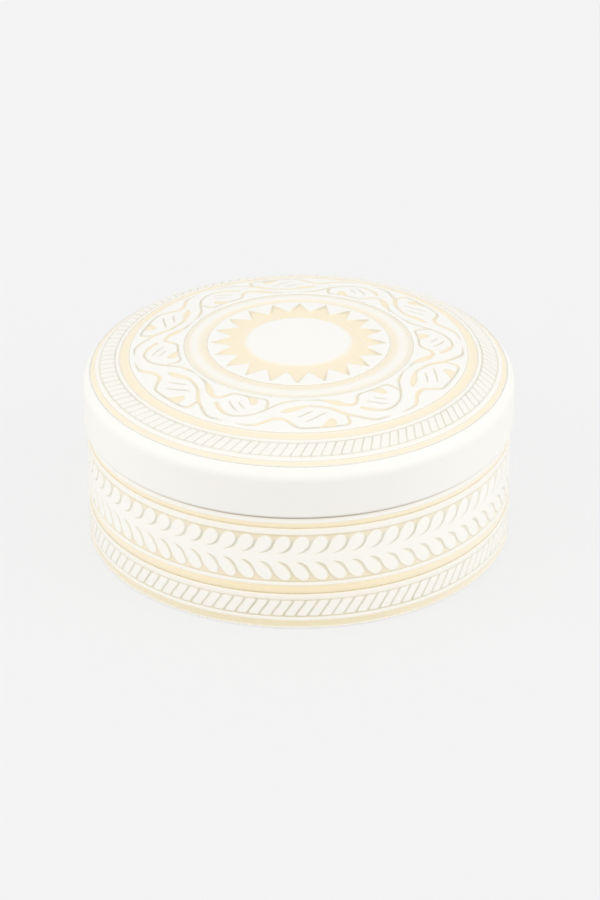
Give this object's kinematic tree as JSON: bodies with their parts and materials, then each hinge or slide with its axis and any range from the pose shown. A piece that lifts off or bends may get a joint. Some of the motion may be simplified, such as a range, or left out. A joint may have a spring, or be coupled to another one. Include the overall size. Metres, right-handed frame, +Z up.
{
  "type": "round lidded box",
  "caption": "Round keepsake box with a domed lid that lifts off a neck ring, carved with a sunburst, a vine scroll, laurel leaves and rope borders.",
  "frame": {"origin": "middle of the base pad's underside, on the table", "axes": "+Z up along the box's own axis, +Y away from the viewer of the picture, +X to the viewer's right"},
  "size_m": [0.15, 0.15, 0.0724],
  "materials": {
    "carved_resin": "satin",
    "plain_resin": "matte",
    "felt_lining": "matte",
    "felt_pad": "matte"
  },
  "bodies": {
    "body": {"body_wall": "carved_resin", "base_disc": "plain_resin", "neck_ring": "plain_resin", "wall_lining": "felt_lining", "floor_lining": "felt_lining", "base_pad": "felt_pad"},
    "lid": {"lid_shell": "carved_resin", "lid_lining": "felt_lining"}
  },
  "joints": [
    {"name": "lid_lift", "type": "slide", "parent": "body", "child": "lid", "axis": [0, 0, 1], "range_m": [0, 0.06]}
  ]
}
